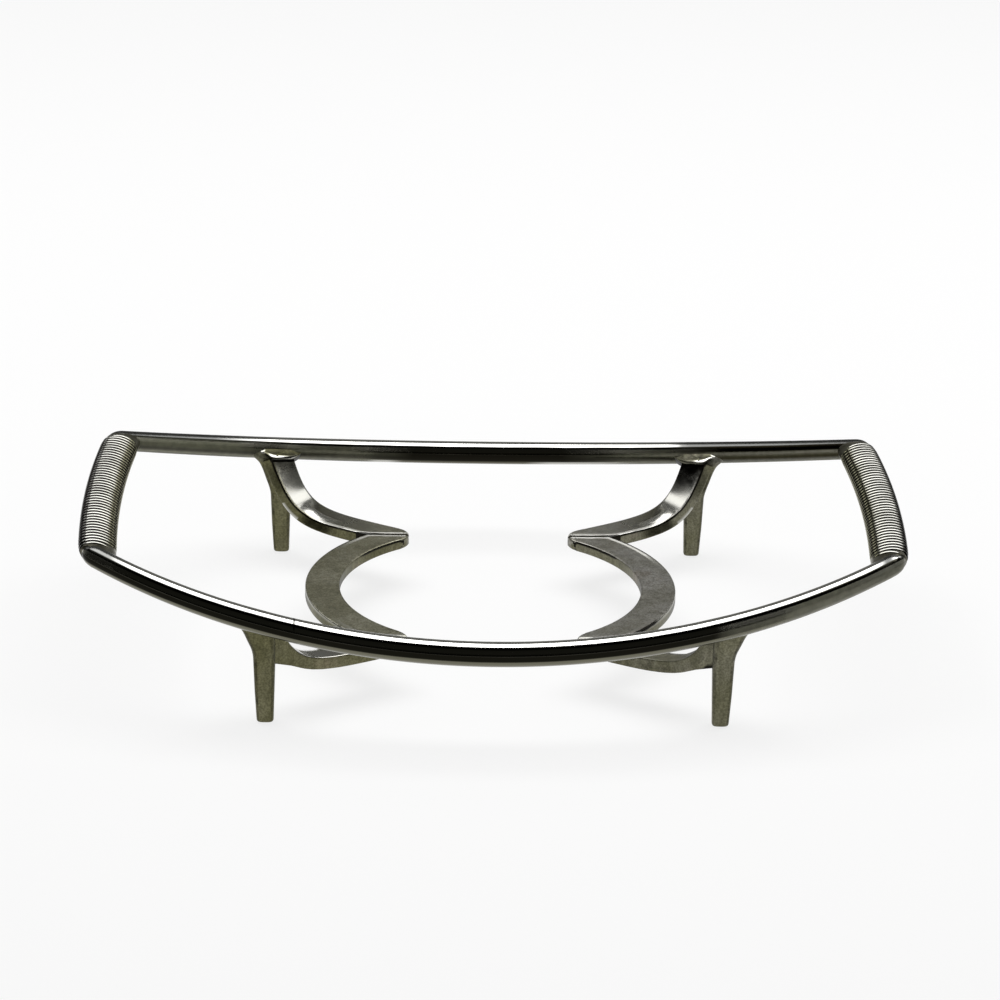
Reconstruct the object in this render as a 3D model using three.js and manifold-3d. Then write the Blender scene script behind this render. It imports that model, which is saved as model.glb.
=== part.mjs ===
// Casserole trivet stand: a bowed rim of two rods and two wire-bound handles, carried on four
// legs, with sloping arms that run down to an interrupted flat ring under the dish.
// Millimetres, +Z up, +X towards the right handle, +Y to the rear. The origin is on the table
// under the middle of the stand. Pieces are shaped in the rear right quarter and turned about
// the origin, or mirrored, for the other three.
import * as THREE from 'three';
import { mergeVertices } from 'three/addons/utils/BufferGeometryUtils.js';
import Module from 'manifold-3d';

const wasm = await Module();
wasm.setup();

// Gap between two pieces that meet
const CLEARANCE = 0.3;

// Rim: each rail is a flat arc, tilted so that its middle hangs lower than its ends
const CORNER_HALF_LENGTH = 142.9;
const CORNER_HALF_DEPTH = 61.7;
const CORNER_HEIGHT = 53.6;
const RAIL_BOW = 45.1;
const RAIL_TILT = 24.1;
const RAIL_MID_RADIUS = 4.55;
const RAIL_END_RADIUS = 3.9;
const RAIL_TIP_LENGTH = 6.6;

// Handles: an oval rod bound with close-wound wire between two plain shoulders
const HANDLE_BOW = 2.7;
const HANDLE_BOW_TILT = 8.5;
const HANDLE_HALF_WIDTH = 7.25;
const HANDLE_FLATTENING_RATIO = 0.6;
const HANDLE_LEAN_ANGLE = 5.5;
const CORE_HALF_WIDTH = 4.8;
const SHOULDER_HALF_WIDTH = 6.4;
const SHOULDER_LENGTH = 5;
const TENON_RADIUS = 2;
const TENON_DEPTH = 1.4;
const WIRE_TURNS = 42;
const WIRE_GROOVE = 0.7;

// Legs: tapered bars with a head that flares out under the rail
const LEG_PLACE = 82;
const LEG_INSET = 7.1;
const FOOT_WIDTH = 6.1;
const FOOT_DEPTH = 4.6;
const FOOT_EDGE = 0.5;
const WAIST_WIDTH = 8;
const WAIST_DEPTH = 6;
const WAIST_HEIGHT = 25;
const HEAD_FLARE = 7;
const HEAD_INBOARD_REACH = 2.8;
const HEAD_RISE = 1.5;
const LEG_CORNER_SQUARENESS = 0.55;
const SPIGOT_RADIUS = 1.5;
const SPIGOT_DEPTH = 3.2;
const SPIGOT_OFFSET = 5;
const SPIGOT_DROP = 1.3;

// Ring under the dish: two flat segments of one circle
const RING_OUTER_RADIUS = 70.05;
const RING_WIDTH = 13.05;
const RING_TOP = 19.9;
const RING_THICKNESS = 4.2;
const CUSP_ANGLE = 47;
const NOSE_RADIUS = 7.4;
const EDGE_BEVEL = 0.7;

// Arms: bars that drop from the leg heads and level out on the ring
const ARM_TOP_INSET = 3.9;
const ARM_WIDTH = 12.6;
const ARM_THICKNESS = 4.75;
const ARM_DROP_RUN = 10.5;
const ARM_DROP_HEIGHT = 18.4;
const ARM_LEVEL_RUN = 9.6;
const WEB_THICKNESS = 4.4;
const WEB_HEIGHT = 22.3;
const WEB_BEND_RUN = 13.5;
const WEB_BEND_HEIGHT = 18;
const WEB_RUN = 20;

// Facets
const ROUND_SIDES = 12;
const WIRE_SIDES = 16;
const RAIL_STEPS = 44;
const CORE_STEPS = 10;
const NOSE_STEPS = 10;
const CURVE_STEPS = 14;
const LEG_SIDES = 16;
const HEAD_STEPS = 6;
const RING_SIDES = 96;

const radians = THREE.MathUtils.degToRad;

const silver = (color, roughness) => new THREE.MeshStandardMaterial({ color, roughness, metalness: 1 });
const polishedSilver = () => silver('#c9c8c2', 0.12);
const wireSilver = () => silver('#c4c3bb', 0.2);
const castSilver = () => silver('#85847a', 0.45);

// A closed mesh as a solid for cutting and joining
function toSolid(geometry) {
  const bare = geometry.clone();
  bare.deleteAttribute('normal');
  bare.deleteAttribute('uv');
  const merged = mergeVertices(bare, 1e-4);
  return new wasm.Manifold(new wasm.Mesh({
    numProp: 3,
    vertProperties: new Float32Array(merged.attributes.position.array),
    triVerts: new Uint32Array(merged.index.array),
  }));
}

function toGeometry(solid) {
  const mesh = solid.getMesh();
  const geometry = new THREE.BufferGeometry();
  geometry.setAttribute('position', new THREE.BufferAttribute(mesh.vertProperties, 3));
  geometry.setIndex(new THREE.BufferAttribute(mesh.triVerts, 1));
  geometry.computeVertexNormals();
  return geometry;
}

// The same shape on the other side of the middle plane, with its faces turned back outwards
function mirrored(geometry) {
  const copy = geometry.clone();
  copy.scale(-1, 1, 1);
  const corners = copy.index.array;
  for (let i = 0; i < corners.length; i += 3) {
    const swap = corners[i];
    corners[i] = corners[i + 1];
    corners[i + 1] = swap;
  }
  copy.computeVertexNormals();
  return copy;
}

// A flat arc over a chord: at(s) gives the point and cross directions s along it from its middle
function bowedPath(chordMiddle, along, bowDirection, halfChord, bow) {
  const radius = (halfChord ** 2 + bow ** 2) / (2 * bow);
  const flat = new THREE.Vector3().crossVectors(bowDirection, along);
  const at = (s) => {
    const angle = s / radius;
    const rise = radius * Math.cos(angle) - (radius - bow);
    const point = chordMiddle.clone().addScaledVector(along, radius * Math.sin(angle));
    point.addScaledVector(bowDirection, rise);
    const side = bowDirection.clone().multiplyScalar(Math.cos(angle));
    side.addScaledVector(along, Math.sin(angle));
    return { point, side, flat };
  };
  const above = (chordPlace) => at(radius * Math.asin(chordPlace / radius)).point;
  return { halfLength: radius * Math.asin(halfChord / radius), at, above };
}

// A turned shape whose axis is bent to follow a path, flattened and rolled about that axis
function turnedAlong(path, profile, sides, flattening = 1, roll = 0) {
  const geometry = new THREE.LatheGeometry(profile, sides);
  const place = geometry.attributes.position;
  const cos = Math.cos(radians(roll));
  const sin = Math.sin(radians(roll));
  for (let i = 0; i < place.count; i += 1) {
    const { point, side, flat } = path.at(place.getY(i));
    const wide = place.getX(i);
    const thick = place.getZ(i) * flattening;
    point.addScaledVector(side, wide * cos - thick * sin);
    point.addScaledVector(flat, wide * sin + thick * cos);
    place.setXYZ(i, point.x, point.y, point.z);
  }
  return geometry;
}

function railPath() {
  const tilt = radians(RAIL_TILT);
  return bowedPath(
    new THREE.Vector3(0, CORNER_HALF_DEPTH, CORNER_HEIGHT),
    new THREE.Vector3(1, 0, 0),
    new THREE.Vector3(0, Math.cos(tilt), -Math.sin(tilt)),
    CORNER_HALF_LENGTH,
    RAIL_BOW,
  );
}

function handlePath() {
  const tilt = radians(HANDLE_BOW_TILT);
  return bowedPath(
    new THREE.Vector3(CORNER_HALF_LENGTH, 0, CORNER_HEIGHT),
    new THREE.Vector3(0, 1, 0),
    new THREE.Vector3(Math.cos(tilt), 0, Math.sin(tilt)),
    CORNER_HALF_DEPTH,
    HANDLE_BOW,
  );
}

// Rod that thins towards both ends and closes in rounded tips; extra makes a cutter of it
function railBody(extra = 0) {
  const path = railPath();
  const corner = path.halfLength;
  const thinning = RAIL_MID_RADIUS - RAIL_END_RADIUS;
  const tipAngles = [25, 50, 72];
  const tipPoint = (angle, end) => new THREE.Vector2(
    RAIL_END_RADIUS * Math.sin(radians(angle)) + extra,
    end * (corner + RAIL_TIP_LENGTH * Math.cos(radians(angle))),
  );
  const apex = (end) => new THREE.Vector2(0, end * (corner + RAIL_TIP_LENGTH + extra));
  const profile = [apex(-1), ...tipAngles.map((angle) => tipPoint(angle, -1))];
  for (let i = 0; i <= RAIL_STEPS; i += 1) {
    const share = 2 * i / RAIL_STEPS - 1;
    profile.push(new THREE.Vector2(RAIL_MID_RADIUS - thinning * share ** 2 + extra, share * corner));
  }
  profile.push(...tipAngles.reverse().map((angle) => tipPoint(angle, 1)), apex(1));
  return toSolid(turnedAlong(path, profile, ROUND_SIDES));
}

// Pin that runs through the handle from rail to rail; extra makes the cutter of its sockets
function tenonPin(extra = 0) {
  const reach = 2 * (CORNER_HALF_DEPTH + TENON_DEPTH + extra);
  const pin = new THREE.CylinderGeometry(TENON_RADIUS + extra, TENON_RADIUS + extra, reach, ROUND_SIDES);
  pin.translate(CORNER_HALF_LENGTH, 0, CORNER_HEIGHT);
  return toSolid(pin);
}

// Round spigot of a leg's head, into the inner side of the rail; extra makes the cutter of its hole
function spigotPin(extra = 0) {
  const seat = railPath().above(LEG_PLACE + SPIGOT_OFFSET);
  const innerSide = seat.y - RAIL_MID_RADIUS;
  const tip = innerSide + SPIGOT_DEPTH + extra;
  const root = innerSide - SPIGOT_DEPTH;
  const pin = new THREE.CylinderGeometry(SPIGOT_RADIUS + extra, SPIGOT_RADIUS + extra, tip - root, ROUND_SIDES);
  pin.translate(seat.x, (tip + root) / 2, seat.z - SPIGOT_DROP);
  return toSolid(pin);
}

function rail() {
  const spigotHole = toSolid(toGeometry(spigotPin(CLEARANCE)));
  const socket = toSolid(toGeometry(tenonPin(CLEARANCE)));
  const otherSpigotHole = toSolid(mirrored(toGeometry(spigotHole)));
  const otherSocket = toSolid(mirrored(toGeometry(socket)));
  const cut = railBody().subtract(spigotHole).subtract(otherSpigotHole);
  return toGeometry(cut.subtract(socket).subtract(otherSocket));
}

// Height of the flat top of the leg heads, a little over the middle of the rail
function headHeight() {
  return railPath().above(LEG_PLACE).z + HEAD_RISE;
}

// Oval rod with a plain shoulder at each end, shaped to the rail, and a tenon into each rail
function handleCore() {
  const path = handlePath();
  const wrapEnd = path.halfLength - SHOULDER_LENGTH;
  const profile = [new THREE.Vector2(0, -path.halfLength)];
  profile.push(new THREE.Vector2(SHOULDER_HALF_WIDTH, -path.halfLength));
  profile.push(new THREE.Vector2(SHOULDER_HALF_WIDTH, -wrapEnd));
  for (let i = 0; i <= CORE_STEPS; i += 1) {
    profile.push(new THREE.Vector2(CORE_HALF_WIDTH, wrapEnd * (2 * i / CORE_STEPS - 1)));
  }
  profile.push(new THREE.Vector2(SHOULDER_HALF_WIDTH, wrapEnd));
  profile.push(new THREE.Vector2(SHOULDER_HALF_WIDTH, path.halfLength));
  profile.push(new THREE.Vector2(0, path.halfLength));
  const body = toSolid(turnedAlong(path, profile, WIRE_SIDES, HANDLE_FLATTENING_RATIO, HANDLE_LEAN_ANGLE));
  const rearRail = railBody(CLEARANCE);
  const frontRail = toSolid(toGeometry(rearRail).rotateZ(Math.PI));
  return toGeometry(body.subtract(rearRail).subtract(frontRail).add(tenonPin()));
}

// Close-wound wire as a ribbed sleeve, one rib for each turn, open along the rod
function handleWrap() {
  const path = handlePath();
  const wrapEnd = path.halfLength - SHOULDER_LENGTH - CLEARANCE;
  const pitch = 2 * wrapEnd / WIRE_TURNS;
  const bore = CORE_HALF_WIDTH + CLEARANCE / HANDLE_FLATTENING_RATIO;
  const valley = HANDLE_HALF_WIDTH - WIRE_GROOVE;
  const profile = [new THREE.Vector2(valley, -wrapEnd)];
  for (let turn = 0; turn < WIRE_TURNS; turn += 1) {
    const start = -wrapEnd + turn * pitch;
    profile.push(new THREE.Vector2(HANDLE_HALF_WIDTH, start + pitch / 2));
    profile.push(new THREE.Vector2(valley, start + pitch));
  }
  for (let i = 0; i <= CORE_STEPS; i += 1) {
    profile.push(new THREE.Vector2(bore, wrapEnd * (1 - 2 * i / CORE_STEPS)));
  }
  profile.push(profile[0].clone());
  const sleeve = turnedAlong(path, profile, WIRE_SIDES, HANDLE_FLATTENING_RATIO, HANDLE_LEAN_ANGLE);
  return toGeometry(toSolid(sleeve));
}

// Points along an arc from one angle to the other
function arcPoints(centre, radius, start, end, steps) {
  const points = [];
  for (let i = 0; i <= steps; i += 1) {
    const angle = THREE.MathUtils.lerp(start, end, i / steps);
    const x = centre.x + radius * Math.cos(angle);
    points.push(new THREE.Vector2(x, centre.y + radius * Math.sin(angle)));
  }
  return points;
}

// Where the arms and the ring meet, seen from above: the cusp's inside corner, the heading of
// the arm from there to the leg, and the centre of the rounded nose
function cuspPlan() {
  const seat = railPath().above(LEG_PLACE);
  const armTop = new THREE.Vector2(seat.x, seat.y - LEG_INSET - ARM_TOP_INSET);
  const angle = radians(CUSP_ANGLE);
  const crotch = new THREE.Vector2(Math.cos(angle), Math.sin(angle)).multiplyScalar(RING_OUTER_RADIUS);
  const reach = armTop.clone().sub(crotch);
  const heading = reach.angle() - Math.asin(ARM_WIDTH / 2 / reach.length());
  const outward = new THREE.Vector2(Math.cos(heading), Math.sin(heading));
  const across = new THREE.Vector2(-outward.y, outward.x);
  const noseOffset = across.dot(armTop) + ARM_WIDTH / 2 - NOSE_RADIUS;
  const ringInner = RING_OUTER_RADIUS - RING_WIDTH;
  const noseDistance = Math.sqrt((ringInner + NOSE_RADIUS) ** 2 - noseOffset ** 2);
  const nose = across.clone().multiplyScalar(noseOffset).addScaledVector(outward, noseDistance);
  return { armTop, crotch, outward, across, nose, length: reach.length() + ARM_WIDTH };
}

// Everything past the rounded nose, which the arm and the ring both give up
function noseCutter() {
  const { nose, across, length } = cuspPlan();
  const beyond = arcPoints(nose, NOSE_RADIUS, across.angle(), Math.PI + nose.angle(), NOSE_STEPS);
  beyond.push(new THREE.Vector2());
  beyond.push(new THREE.Vector2(nose.x - length, 0));
  beyond.push(new THREE.Vector2(nose.x - length, nose.y + length));
  beyond.push(across.clone().multiplyScalar(length).add(nose));
  const cut = { depth: headHeight(), bevelEnabled: false };
  return toSolid(new THREE.ExtrudeGeometry(new THREE.Shape(beyond), cut));
}

// Flat segment of the ring between two cusps: a turned ring with softened edges, cut to the
// mitres and to the rounded noses
function ringSegment() {
  const mitre = cuspPlan().crotch.y - CLEARANCE / 2;
  const [inner, outer] = [RING_OUTER_RADIUS - RING_WIDTH, RING_OUTER_RADIUS];
  const [bottom, top] = [RING_TOP - RING_THICKNESS, RING_TOP];
  const corners = [
    [outer - EDGE_BEVEL, bottom], [outer, bottom + EDGE_BEVEL],
    [outer, top - EDGE_BEVEL], [outer - EDGE_BEVEL, top],
    [inner + EDGE_BEVEL, top], [inner, top - EDGE_BEVEL],
    [inner, bottom + EDGE_BEVEL], [inner + EDGE_BEVEL, bottom],
    [outer - EDGE_BEVEL, bottom],
  ];
  const profile = corners.map(([radius, height]) => new THREE.Vector2(radius, height));
  const turned = new THREE.LatheGeometry(profile, RING_SIDES).rotateX(Math.PI / 2);
  const between = new THREE.BoxGeometry(outer, 2 * mitre, 2 * top);
  between.translate(outer / 2 + CLEARANCE, 0, top);
  const frontNose = toSolid(mirrored(toGeometry(noseCutter())).rotateZ(Math.PI));
  const segment = toSolid(turned).intersect(toSolid(between));
  return toGeometry(segment.subtract(noseCutter()).subtract(frontNose));
}

// Side view of the arm: run from the leg, and height. The upper line falls steeply and levels
// out at the height of the ring; the lower line keeps the thickness of the bar
function armLines(length, gap = 0) {
  const fall = new THREE.CubicBezierCurve(
    new THREE.Vector2(0, headHeight()),
    new THREE.Vector2(ARM_DROP_RUN, ARM_DROP_HEIGHT),
    new THREE.Vector2(ARM_LEVEL_RUN, RING_TOP),
    new THREE.Vector2(length, RING_TOP),
  );
  const upper = fall.getPoints(CURVE_STEPS);
  const lower = upper.map((point, i) => {
    const tangent = fall.getTangent(i / CURVE_STEPS);
    const depth = ARM_THICKNESS + gap;
    return new THREE.Vector2(point.x + tangent.y * depth, point.y - tangent.x * depth);
  });
  return { upper, lower };
}

// A side view drawn as run and height, given a width and stood on the arm's heading
function alongArm(points, width, middle, bevel = 0) {
  const { armTop, outward, across } = cuspPlan();
  const bar = new THREE.ExtrudeGeometry(new THREE.Shape(points), {
    depth: width - 2 * bevel,
    bevelEnabled: bevel > 0,
    bevelSize: bevel,
    bevelThickness: bevel,
    bevelOffset: -bevel,
    bevelSegments: 1,
  });
  bar.translate(0, 0, middle - width / 2 + bevel);
  bar.applyMatrix4(new THREE.Matrix4().makeBasis(
    new THREE.Vector3(-outward.x, -outward.y, 0),
    new THREE.Vector3(0, 0, 1),
    new THREE.Vector3(across.x, across.y, 0),
  ));
  bar.translate(armTop.x, armTop.y, 0);
  return toSolid(bar);
}

// All that lies over the arm's lower line, to trim the leg's head back behind the arm
function overArm() {
  const { length } = cuspPlan();
  const { lower } = armLines(length, CLEARANCE);
  const ceiling = headHeight() + RAIL_MID_RADIUS;
  const outline = [...lower].reverse();
  outline.push(new THREE.Vector2(lower[0].x - CLEARANCE, ceiling));
  outline.push(new THREE.Vector2(length, ceiling));
  const width = 2 * ARM_WIDTH;
  return alongArm(outline, width, ARM_WIDTH / 2 + CLEARANCE - width / 2);
}

// Everything past the mitre line and the rounded nose, which the arm gives up
function cuspCutter() {
  const { crotch, length } = cuspPlan();
  const height = headHeight();
  const behind = new THREE.BoxGeometry(2 * length, length, height);
  behind.translate(crotch.x, crotch.y + CLEARANCE / 2 - length / 2, height / 2);
  return toSolid(behind).add(noseCutter());
}

// Tapered oval-cornered bar; the head widens outwards and reaches under the rail
function legBody(extra = 0) {
  const seat = railPath().above(LEG_PLACE);
  const footMiddle = seat.y - LEG_INSET;
  const top = headHeight();
  const heights = [0, FOOT_EDGE, WAIST_HEIGHT / 2, WAIST_HEIGHT];
  for (let i = 1; i <= HEAD_STEPS; i += 1) {
    heights.push(THREE.MathUtils.lerp(WAIST_HEIGHT, top, i / HEAD_STEPS));
  }
  const geometry = new THREE.CylinderGeometry(1, 1, 1, LEG_SIDES, heights.length - 1);
  geometry.rotateX(Math.PI / 2);
  const place = geometry.attributes.position;
  const square = (value) => Math.sign(value) * Math.abs(value) ** LEG_CORNER_SQUARENESS;
  for (let i = 0; i < place.count; i += 1) {
    const row = Math.round((place.getZ(i) + 0.5) * (heights.length - 1));
    const z = heights[row];
    const up = Math.min(z / WAIST_HEIGHT, 1);
    const flare = Math.max((z - WAIST_HEIGHT) / (top - WAIST_HEIGHT), 0) ** 1.1;
    const lip = row === 0 ? 2 * FOOT_EDGE : 0;
    const width = THREE.MathUtils.lerp(FOOT_WIDTH, WAIST_WIDTH, up) - lip + 2 * extra;
    const depth = THREE.MathUtils.lerp(FOOT_DEPTH, WAIST_DEPTH, up) - lip + 2 * extra;
    const outward = HEAD_FLARE * flare;
    const outboard = (seat.y - footMiddle - WAIST_DEPTH / 2) * flare;
    const inboard = HEAD_INBOARD_REACH * flare;
    const x = seat.x + outward / 2 + square(place.getX(i)) * (width + outward) / 2;
    const y = footMiddle + (outboard - inboard) / 2 + square(place.getY(i)) * (depth + outboard + inboard) / 2;
    place.setXYZ(i, x, y, z);
  }
  return toSolid(geometry);
}

function leg() {
  return toGeometry(legBody().subtract(railBody(CLEARANCE)).add(spigotPin()).subtract(overArm()));
}

// Gusset that fills the corner between the underside of the arm and the leg
function web() {
  const { length } = cuspPlan();
  const { lower: insideArm } = armLines(length, -ARM_THICKNESS / 2);
  const outline = insideArm.filter((point) => point.x > 0 && point.x < WEB_RUN);
  outline.push(new THREE.Vector2(WEB_RUN, RING_TOP - ARM_THICKNESS + EDGE_BEVEL));
  outline.push(new THREE.Vector2(WEB_BEND_RUN, WEB_BEND_HEIGHT));
  outline.push(new THREE.Vector2(outline[0].x, WEB_HEIGHT));
  return alongArm(outline, WEB_THICKNESS, WEB_THICKNESS / 2).subtract(legBody(CLEARANCE));
}

// Bar that slopes down from the leg's head to its mitre with the ring, with the web behind it
function arm() {
  const { length } = cuspPlan();
  const { upper, lower } = armLines(length);
  const outline = [...upper, ...[...lower].reverse()];
  const bar = alongArm(outline, ARM_WIDTH, 0, EDGE_BEVEL);
  return toGeometry(bar.add(web()).subtract(cuspCutter()).subtract(railBody(CLEARANCE)));
}

function sub(name, geometry, material, turn = 0) {
  const mesh = new THREE.Mesh(geometry, material);
  mesh.name = name;
  mesh.rotation.z = turn;
  return mesh;
}

const stand = new THREE.Group();
const half = Math.PI;

const rim = new THREE.Group();
rim.add(sub('rear_rail', rail(), polishedSilver()));
rim.add(sub('front_rail', rail(), polishedSilver(), half));
stand.add(rim);

const handles = new THREE.Group();
handles.add(sub('right_handle_core', handleCore(), polishedSilver()));
handles.add(sub('left_handle_core', handleCore(), polishedSilver(), half));
handles.add(sub('right_handle_wrap', handleWrap(), wireSilver()));
handles.add(sub('left_handle_wrap', handleWrap(), wireSilver(), half));
stand.add(handles);

const underframe = new THREE.Group();
const quarters = [
  ['rear_right', false, 0],
  ['front_left', false, half],
  ['rear_left', true, 0],
  ['front_right', true, half],
];
for (const [quarter, opposite, turn] of quarters) {
  for (const [piece, make] of [['leg', leg], ['arm', arm]]) {
    const geometry = opposite ? mirrored(make()) : make();
    underframe.add(sub(`${quarter}_${piece}`, geometry, castSilver(), turn));
  }
}
underframe.add(sub('right_ring_segment', ringSegment(), castSilver()));
underframe.add(sub('left_ring_segment', ringSegment(), castSilver(), half));
stand.add(underframe);

export default stand;
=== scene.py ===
import bmesh
import bpy
import numpy as np
from mathutils import Matrix, Vector


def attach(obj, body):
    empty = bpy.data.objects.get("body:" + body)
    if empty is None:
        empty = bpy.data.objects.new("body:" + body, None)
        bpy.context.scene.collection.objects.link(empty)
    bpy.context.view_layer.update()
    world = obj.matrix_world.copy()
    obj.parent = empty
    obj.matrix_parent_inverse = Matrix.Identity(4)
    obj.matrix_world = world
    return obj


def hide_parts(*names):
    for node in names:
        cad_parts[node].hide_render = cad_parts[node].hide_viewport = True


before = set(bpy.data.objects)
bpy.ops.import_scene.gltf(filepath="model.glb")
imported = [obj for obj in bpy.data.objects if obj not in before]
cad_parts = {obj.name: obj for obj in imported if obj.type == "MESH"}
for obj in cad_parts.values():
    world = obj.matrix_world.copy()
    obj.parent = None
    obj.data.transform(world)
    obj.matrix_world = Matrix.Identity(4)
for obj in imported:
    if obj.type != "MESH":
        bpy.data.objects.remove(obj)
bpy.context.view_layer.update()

MM = 0.001

# Camera
# It stands in front of the stand, 21 degrees up and a little to the left, 1.46 metres away,
# with the long lens of a catalogue photograph.
camera_heading = 0.0244
camera_height_angle = 0.3644
camera_roll = 0.0198
camera_distance = 1462.97 * MM
aim_height = 35.0 * MM
moved_right, moved_up = 3.35 * MM, 17.884 * MM
forward = np.array([
    np.sin(camera_heading) * np.cos(camera_height_angle),
    np.cos(camera_heading) * np.cos(camera_height_angle),
    -np.sin(camera_height_angle),
])
level_right = np.array([np.cos(camera_heading), -np.sin(camera_heading), 0.0])
level_up = np.cross(level_right, forward)
right = level_right * np.cos(camera_roll) + level_up * np.sin(camera_roll)
up = -level_right * np.sin(camera_roll) + level_up * np.cos(camera_roll)
camera_place = np.array([0.0, 0.0, aim_height]) - forward * camera_distance
camera_place = camera_place + right * moved_right + up * moved_up
lens = bpy.data.cameras.new("photo_camera")
lens.sensor_width = 36.0
lens.lens = 139.66
lens.clip_end = 50.0
camera = bpy.data.objects.new("photo_camera", lens)
bpy.context.scene.collection.objects.link(camera)
turn = Matrix(np.column_stack([right, up, -forward]).tolist()).to_4x4()
camera.matrix_world = Matrix.Translation(Vector(camera_place)) @ turn
bpy.context.scene.camera = camera
bpy.context.scene.view_settings.view_transform = "Standard"


# Studio floor
# A wide pale sweep. It shows as white, in the metal too, and keeps the soft shadow of the stand.
class Shade:
    """A socket in a material. Arithmetic on it adds Math nodes, and node() adds any other node."""

    def __init__(self, tree, socket=None):
        self.tree = tree
        self.socket = socket

    def node(self, kind, settings, inputs, output=0):
        """Adds a node of a kind, with its settings first, then the values or links of its sockets"""
        made = self.tree.nodes.new(kind)
        for name, value in settings.items():
            if name == "stops":
                ramp = made.color_ramp.elements
                while len(ramp) < len(value):
                    ramp.new(0.5)
                for element, (place, tone) in zip(ramp, value):
                    element.position = place
                    element.color = (*tone, 1.0)
            else:
                setattr(made, name, value)
        for name, value in inputs.items():
            if isinstance(value, Shade):
                self.tree.links.new(value.socket, made.inputs[name])
            else:
                made.inputs[name].default_value = value
        return Shade(self.tree, made.outputs[output])

    def into(self, shader, name):
        """Links this socket to a named socket of a shader"""
        self.tree.links.new(self.socket, shader.inputs[name])

    def maths(self, operation, first, second):
        """One Math node's result on two numbers"""
        return self.node("ShaderNodeMath", {"operation": operation}, {0: first, 1: second})

    def __add__(self, other):
        return self.maths("ADD", self, other)

    def __radd__(self, other):
        return self.maths("ADD", other, self)

    def __sub__(self, other):
        return self.maths("SUBTRACT", self, other)

    def __rsub__(self, other):
        return self.maths("SUBTRACT", other, self)

    def __mul__(self, other):
        return self.maths("MULTIPLY", self, other)

    def __rmul__(self, other):
        return self.maths("MULTIPLY", other, self)

    def between(self, low, high):
        """0 up to low, 1 from high on, and a smooth rise between"""
        inputs = {"Value": self, "From Min": low, "From Max": high}
        return self.node("ShaderNodeMapRange", {"interpolation_type": "SMOOTHSTEP"}, inputs)

    def blend(self, first, second):
        """The first colour where this is 0 and the second where it is 1"""
        inputs = {"Factor": self, 6: first, 7: second}
        return self.node("ShaderNodeMix", {"data_type": "RGBA"}, inputs, 2)

    def tint(self, other):
        """This colour multiplied by another"""
        settings = {"data_type": "RGBA", "blend_type": "MULTIPLY"}
        return self.node("ShaderNodeMix", settings, {"Factor": 1.0, 6: self, 7: other}, 2)

    def mark(self, name):
        """A value given to the points of the mesh"""
        return self.node("ShaderNodeAttribute", {"attribute_name": name}, {}, "Fac")

    def part(self, axis):
        """One coordinate of this place"""
        return self.node("ShaderNodeSeparateXYZ", {}, {"Vector": self}, axis)

    def stretched(self, scale):
        """This place with each coordinate multiplied by its own scale"""
        return self.node("ShaderNodeMapping", {}, {"Vector": self, "Scale": scale})

    def noise(self, scale):
        """Soft clouds from 0 to 1 over this place, at a scale in cycles per metre"""
        inputs = {"Vector": self, "Scale": scale, "Detail": 4.0}
        return self.node("ShaderNodeTexNoise", {}, inputs, "Fac")

    def bump(self, strength, distance):
        """The normal of a surface that is raised where this value is high"""
        inputs = {"Strength": strength, "Distance": distance, "Height": self}
        return self.node("ShaderNodeBump", {}, inputs)


floor_half_size = 9.0
white_share = 0.8
floor_corners = np.array([[-1, -1, 0], [1, -1, 0], [1, 1, 0], [-1, 1, 0]]) * floor_half_size
floor_mesh = bpy.data.meshes.new("floor")
floor_mesh.from_pydata(floor_corners.tolist(), [], [(0, 1, 2, 3)])
floor = bpy.data.objects.new("floor", floor_mesh)
bpy.context.scene.collection.objects.link(floor)
floor_paint = bpy.data.materials.new("floor_paint")
floor_paint.use_nodes = True
floor_paint.node_tree.nodes.clear()
paint = Shade(floor_paint.node_tree)
seen = paint.node("ShaderNodeLightPath", {}, {}, "Is Camera Ray")
seen = seen + paint.node("ShaderNodeLightPath", {}, {}, "Is Glossy Ray")
seen = seen + paint.node("ShaderNodeLightPath", {}, {}, "Is Transmission Ray")
matt = paint.node("ShaderNodeBsdfDiffuse", {}, {"Color": (0.82, 0.82, 0.82, 1.0)})
glow = paint.node("ShaderNodeEmission", {}, {"Color": (1.0, 1.0, 1.0, 1.0), "Strength": 1.0})
mixed = paint.node("ShaderNodeMixShader", {}, {0: seen * white_share, 1: matt, 2: glow})
floor_output = floor_paint.node_tree.nodes.new("ShaderNodeOutputMaterial")
mixed.into(floor_output, "Surface")
floor_mesh.materials.append(floor_paint)

# Studio light
# One wide soft box hangs over the stand and a little behind it, and two small panels stand
# behind it on the right and left. The room in front is dark and the wall behind is dim.
room = bpy.data.worlds.new("room")
room.use_nodes = True
bpy.context.scene.world = room
walls = Shade(room.node_tree)
rearwards = walls.node("ShaderNodeTexCoord", {}, {}, "Generated").part("Y")
front_wall, rear_wall = (0.012, 0.012, 0.010, 1.0), (0.16, 0.16, 0.15, 1.0)
wall_tone = rearwards.between(-0.1, 0.75).blend(front_wall, rear_wall)
wall_tone.into(room.node_tree.nodes["Background"], "Color")
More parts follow.
